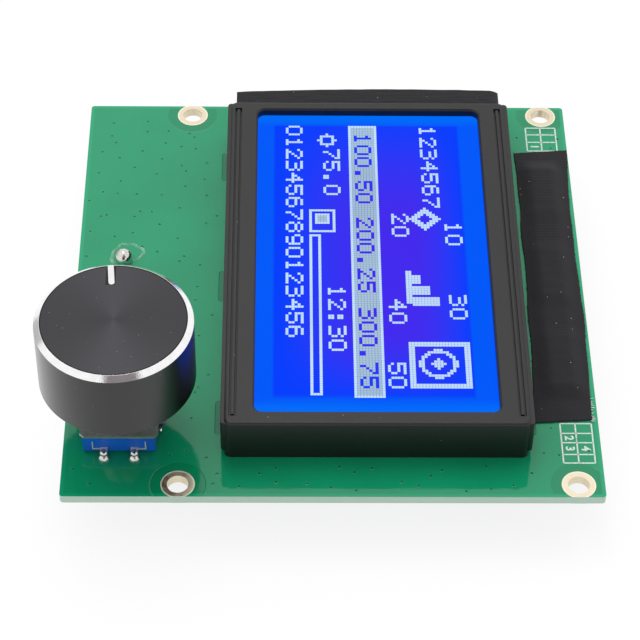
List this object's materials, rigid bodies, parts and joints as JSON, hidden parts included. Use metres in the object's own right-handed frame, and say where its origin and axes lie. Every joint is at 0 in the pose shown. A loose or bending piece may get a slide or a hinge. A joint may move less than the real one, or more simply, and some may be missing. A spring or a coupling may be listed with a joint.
{
  "type": "dot-matrix lcd display",
  "caption": "Blue dot-matrix LCD in a snap-in black bezel on a green circuit board, with a push-and-turn knob, taped header joints and a buzzer on the back.",
  "frame": {"origin": "centre of the mounting-hole rectangle, on the display face of the board", "axes": "+Z out of the display face, +Y towards the backlight end, +X towards the header side"},
  "size_m": [0.0917, 0.093, 0.0365],
  "materials": {
    "solder_mask": "glossy green solder mask over glass-fibre laminate",
    "tinned_metal": "tinned copper and solder",
    "black_abs": "moulded black ABS, satin",
    "black_nylon": "moulded black nylon",
    "display_face": "polariser film, blue with the backlight on",
    "glass": "clear float glass",
    "dark_film": "polariser film",
    "white_film": "white film",
    "acrylic": "clear acrylic",
    "white_plastic": "moulded white plastic",
    "lamp_resin": "lamp resin",
    "silicone": "layered silicone rubber",
    "cloth_tape": "black woven acetate cloth tape",
    "pin_brass": "gold-flashed brass",
    "blue_plastic": "moulded blue thermoplastic",
    "spring_steel": "plated steel",
    "die_cast": "plated die casting",
    "black_anodised": "black anodised, turned, with a bright cut edge",
    "white_fill": "white paint fill",
    "epoxy": "black potting epoxy",
    "ceramic": "ceramic"
  },
  "bodies": {
    "board": {"circuit_board": "solder_mask", "hole_plating": "tinned_metal", "solder_joints": "tinned_metal", "bezel_frame": "black_abs", "front_polariser": "display_face", "front_glass": "glass", "rear_glass": "glass", "rear_polariser": "dark_film", "diffuser_film": "white_film", "light_guide": "acrylic", "reflector_film": "white_film", "backlight_tray": "white_plastic", "lamp_strip": "white_plastic", "backlight_lamps": "lamp_resin", "backlight_leads": "tinned_metal", "zebra_strips": "silicone", "backlight_tape": "cloth_tape", "header_tape": "cloth_tape", "box_header_1": "black_nylon", "box_header_2": "black_nylon", "box_header_3": "black_nylon", "header_pins": "pin_brass", "encoder_base": "blue_plastic", "encoder_cover": "spring_steel", "encoder_bush": "die_cast", "encoder_terminals": "tinned_metal", "contact_tracks": "pin_brass", "detent_spring": "spring_steel", "switch_dome": "spring_steel", "buzzer_case": "black_nylon", "buzzer_pins": "tinned_metal", "driver_caps": "epoxy", "chip_resistors": "ceramic", "chip_capacitors": "ceramic", "chip_ends": "tinned_metal"},
    "rotor": {"encoder_rotor": "white_plastic", "wiper_ring": "pin_brass"},
    "knob": {"encoder_shaft": "die_cast", "shaft_clip": "spring_steel", "knob_insert": "black_abs", "knob_body": "black_anodised", "knob_pointer": "white_fill"}
  },
  "joints": [
    {"name": "knob_spin", "type": "hinge", "parent": "board", "child": "rotor", "pos_m": [-0.0422, -0.0315, 0], "axis": [0, 0, 1], "continuous": true},
    {"name": "knob_push", "type": "slide", "parent": "rotor", "child": "knob", "axis": [0, 0, -1], "range_m": [0, 0.0005], "stiffness_N_per_m": 2000, "springref_m": -0.0005, "deforming": ["switch_dome"]}
  ]
}
